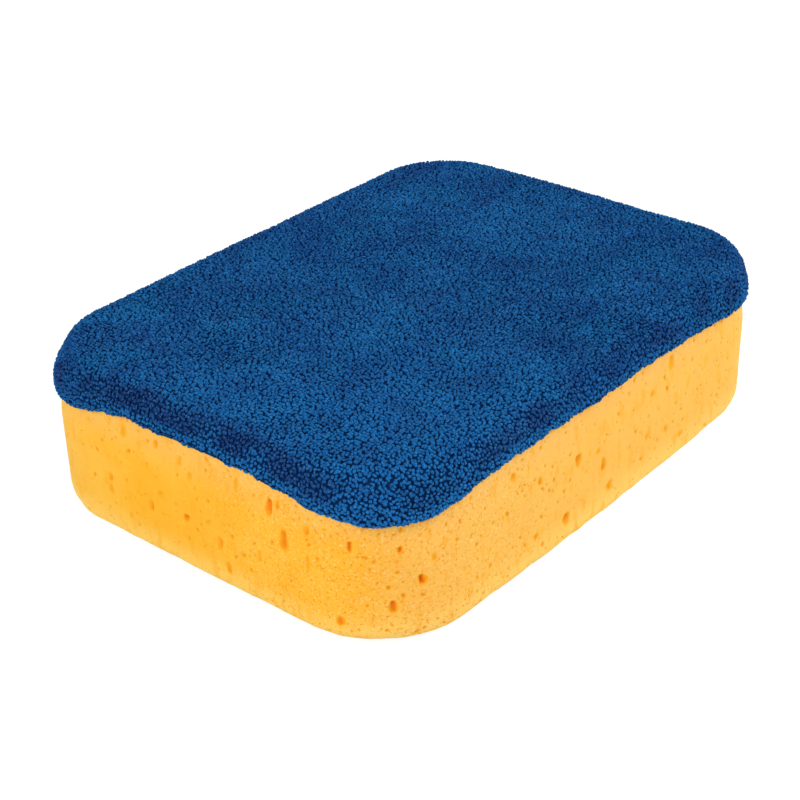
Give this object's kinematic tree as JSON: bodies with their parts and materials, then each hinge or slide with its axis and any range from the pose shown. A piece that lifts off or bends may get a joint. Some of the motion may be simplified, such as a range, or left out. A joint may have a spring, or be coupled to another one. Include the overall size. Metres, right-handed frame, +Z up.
{
  "type": "cleaning sponge",
  "caption": "Rounded block of open-cell foam with a loop-pile microfibre cloth bonded over its top and drawn down over the top edge.",
  "frame": {"origin": "middle of the underside, on the surface that the sponge lies on", "axes": "+X along the length, +Y across the width, +Z up, out of the cloth side"},
  "size_m": [0.1924, 0.1424, 0.051],
  "materials": {
    "foam": "soft open-cell polyurethane foam, matt, warm yellow",
    "cloth": "blue microfibre loop pile"
  },
  "bodies": {
    "root": {"foam_block": "foam", "microfibre_cloth": "cloth"}
  },
  "joints": []
}
